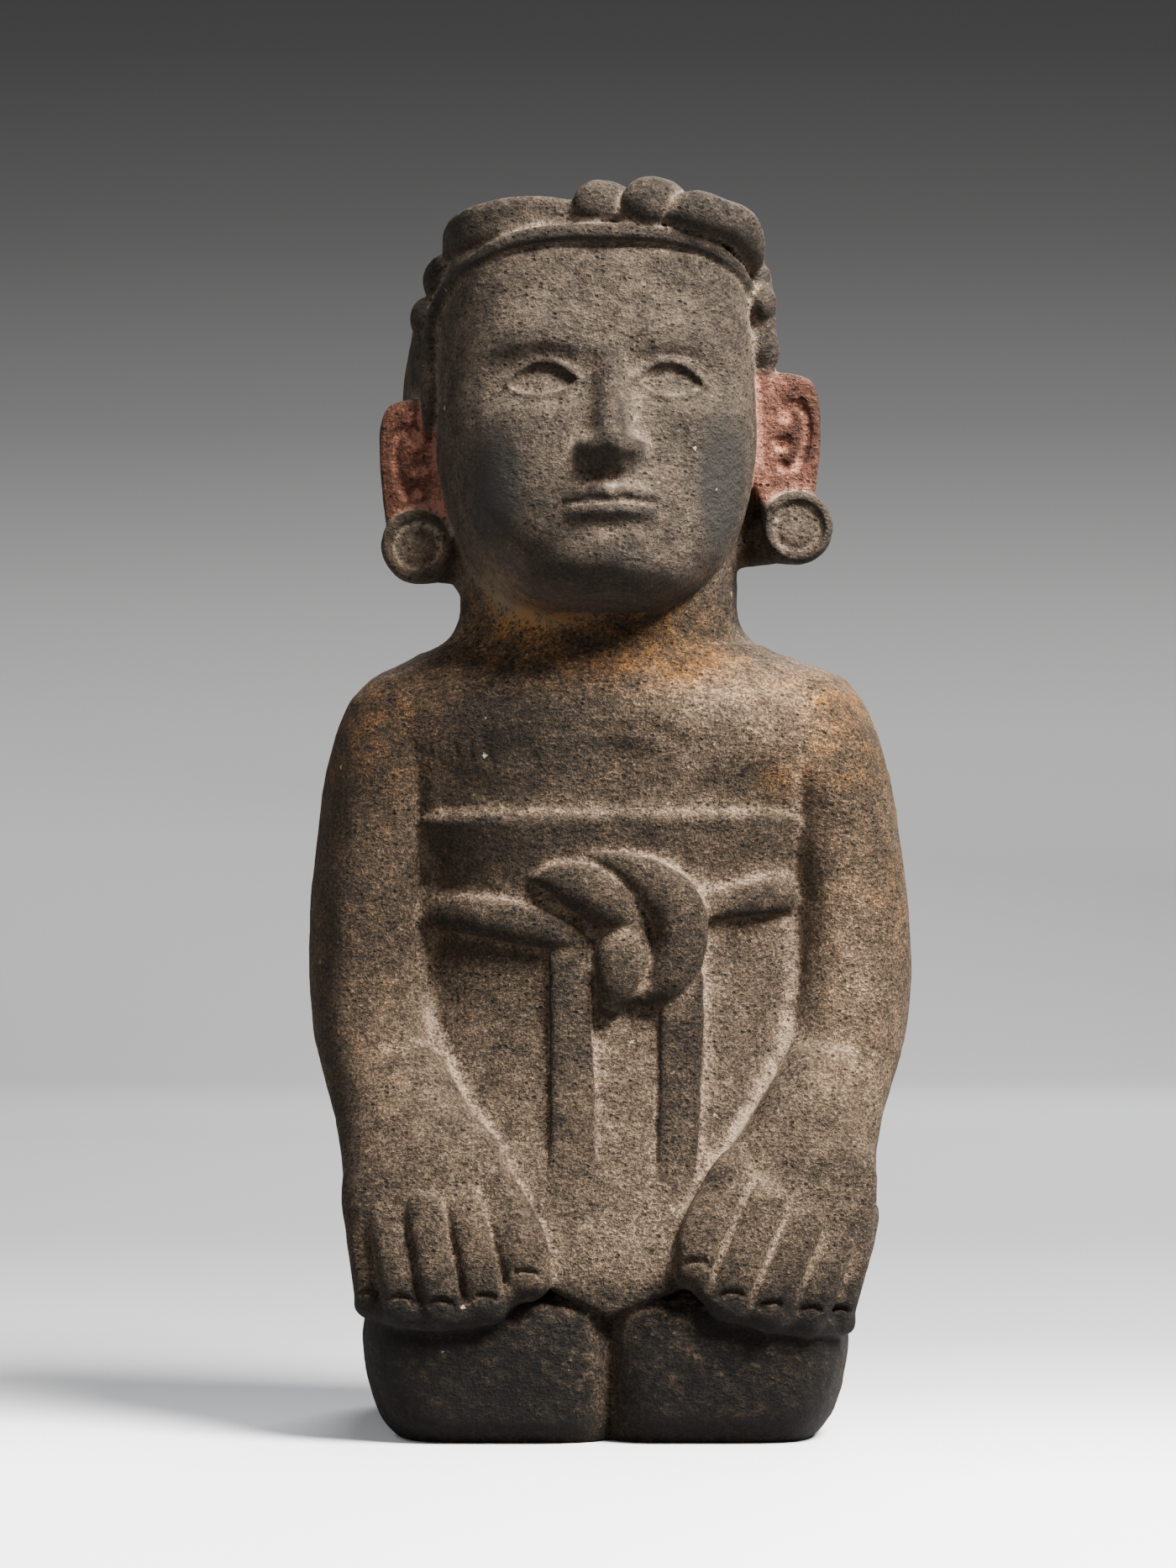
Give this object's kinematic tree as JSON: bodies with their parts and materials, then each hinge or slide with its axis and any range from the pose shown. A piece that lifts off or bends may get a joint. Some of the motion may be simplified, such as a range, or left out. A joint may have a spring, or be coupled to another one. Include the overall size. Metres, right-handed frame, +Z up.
{
  "type": "kneeling stone figure",
  "caption": "Kneeling woman carved from one block of dark volcanic stone, hands on her knees, with a knotted belt, a twisted headband and ear ornaments.",
  "frame": {"origin": "middle of the underside", "axes": "+Z up, the figure faces -Y, +X to the right of someone facing it"},
  "size_m": [0.2661, 0.2404, 0.5451],
  "materials": {
    "volcanic_stone": "finely pecked, porous and matt, with worn polish on the cheeks, traces of red pigment on the ear ornaments and rust-coloured stains on the neck and shoulders"
  },
  "bodies": {
    "root": {"kneeling_figure": "volcanic_stone"}
  },
  "joints": []
}
